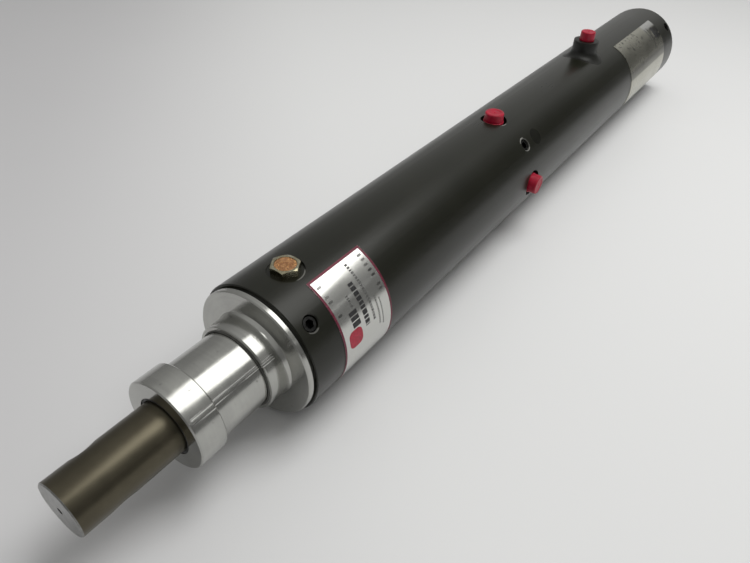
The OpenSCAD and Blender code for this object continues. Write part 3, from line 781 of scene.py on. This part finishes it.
def wrapped_patch(bm, x0, x1, a0, a1, corner=0.0):
    """Adds a thin curved patch that lies on a label, from x0 to x1 and from angle a0 to a1."""
    inner = BARREL_R + LABEL_LIFT
    arc = math.radians(a1 - a0) * inner
    corner = min(corner, arc / 2, (x1 - x0) / 2)
    columns = max(1, math.ceil((a1 - a0) / 2.5))
    low, high = [], []

    def edges_at(s):
        """Lowest and highest x of the patch at arc length s."""
        inset = 0.0
        if corner and (s < corner or s > arc - corner):
            d = corner - s if s < corner else s - (arc - corner)
            inset = corner - math.sqrt(max(0.0, corner ** 2 - d ** 2))
        return x0 + inset, x1 - inset

    stations = [arc * k / columns for k in range(columns + 1)]
    if corner:
        stations += [corner * (1 - math.cos(t * math.pi / 8)) for t in range(1, 4)]
        stations += [arc - corner * (1 - math.cos(t * math.pi / 8)) for t in range(1, 4)]
        stations = sorted(set(round(s, 5) for s in stations))
    for s in stations:
        a = math.radians(a0) + s / inner
        xa, xb = edges_at(s)
        for level, r in ((low, inner), (high, inner + PRINT_THICKNESS)):
            level.append([bm.verts.new((x, r * math.sin(a), r * math.cos(a))) for x in (xa, xb)])
    for k in range(len(stations) - 1):
        l0, l1, h0, h1 = low[k], low[k + 1], high[k], high[k + 1]
        bm.faces.new((h0[0], h0[1], h1[1], h1[0]))
        bm.faces.new((l0[1], l0[0], l1[0], l1[1]))
        bm.faces.new((l0[0], h0[0], h1[0], l1[0]))
        bm.faces.new((l0[1], l1[1], h1[1], h0[1]))
    bm.faces.new((low[0][0], low[0][1], high[0][1], high[0][0]))
    bm.faces.new((low[-1][1], low[-1][0], high[-1][0], high[-1][1]))


def text_line(bm, x, size, start, end, words):
    """A row of short blocks round the barrel, standing for a line of print.

    The blocks are size millimetres high, and each takes its length from words, in degrees.
    """
    a = start
    while a < end:
        word = random.choice(words)
        stop = min(end, a + word)
        wrapped_patch(bm, x - size / 2, x + size / 2, a, stop)
        a = stop + WORD_GAP


def label_frame(bm, x0, x1, a0, a1, width):
    """Adds a printed frame of a given width inside the edges of a label."""
    turn = math.degrees(width / BARREL_R)
    wrapped_patch(bm, x0, x0 + width, a0, a1)
    wrapped_patch(bm, x1 - width, x1, a0, a1)
    wrapped_patch(bm, x0 + width, x1 - width, a0, a0 + turn)
    wrapped_patch(bm, x0 + width, x1 - width, a1 - turn, a1)


def make_front_label():
    """Border, plain block with bars in place of a mark, and rows of blocks in place of words."""
    x0, x1 = FRONT_LABEL
    border = bmesh.new()
    label_frame(border, x0 + 0.05, x1 - 0.05, *FRONT_LABEL_ANGLES, LABEL_BORDER)
    add_piece("front_label_maroon", border, MAROON, "barrel")
    spot = bmesh.new()
    wrapped_patch(spot, x1 - 13.6, x1 - 4.0, 72, 87, corner=3.0)
    add_piece("front_label_spot", spot, CRIMSON, "barrel")
    ink = bmesh.new()
    text_line(ink, x1 - 18.3, 3.2, 40, 77, (3.4, 4.2, 2.6))
    text_line(ink, x1 - 11.2, 5.4, 58, 71, (3.4, 4.4))
    add_piece("front_label_print", ink, BLACK_INK, "barrel")
    small = bmesh.new()
    small_rows = (
        (12.4, 1.5, 46, 56, (1.0, 1.5)),
        (23.4, 1.6, 27, 78, (1.2, 1.8)),
        (27.2, 1.2, 60, 86, (0.9, 1.4)),
        (29.8, 0.9, 64, 88, (0.8, 1.2)),
    )
    for back, size, start, end, words in small_rows:
        text_line(small, x1 - back, size, start, end, words)
    add_piece("front_label_small_print", small, GREY_INK, "barrel")
    stamp = bmesh.new()
    stamped_rows = ((3.6, (29, 38, 42.5, 55)), (33.2, (28, 32.5, 37, 42, 46.5, 55, 59)))
    for back, angles in stamped_rows:
        for angle in angles:
            x = x1 - back + random.uniform(-0.3, 0.3)
            wrapped_patch(stamp, x - 1.4, x + 1.4, angle - 1.0, angle + 1.0, corner=0.7)
    add_piece("front_label_stamp", stamp, STAMP, "barrel")


def make_rear_label():
    """What is left of the print near the rear end: a block, a bar and two rows."""
    x0, x1 = REAR_LABEL
    ink = bmesh.new()
    wrapped_patch(ink, x0 + 9, x0 + 14, 30, 48, corner=0.8)
    wrapped_patch(ink, x0 + 4.5, x0 + 6.0, 36, 50)
    text_line(ink, x0 + 20, 1.6, 27, 60, (1.6, 2.6))
    text_line(ink, x0 + 25, 1.2, 27, 50, (1.2, 2.0))
    add_piece("rear_label_print", ink, BLACK_INK, "barrel")


make_front_label()
make_rear_label()


# ---------------------------------------------------------------- floor
def make_floor():
    half_width = 4
    bm = bmesh.new()
    bmesh.ops.create_grid(bm, x_segments=2, y_segments=2, size=half_width)
    mesh = bpy.data.meshes.new("floor")
    bm.to_mesh(mesh)
    bm.free()
    mesh.materials.append(floor_paper())
    floor = bpy.data.objects.new("floor", mesh)
    floor.location.z = -BARREL_R * MM
    bpy.context.scene.collection.objects.link(floor)


make_floor()
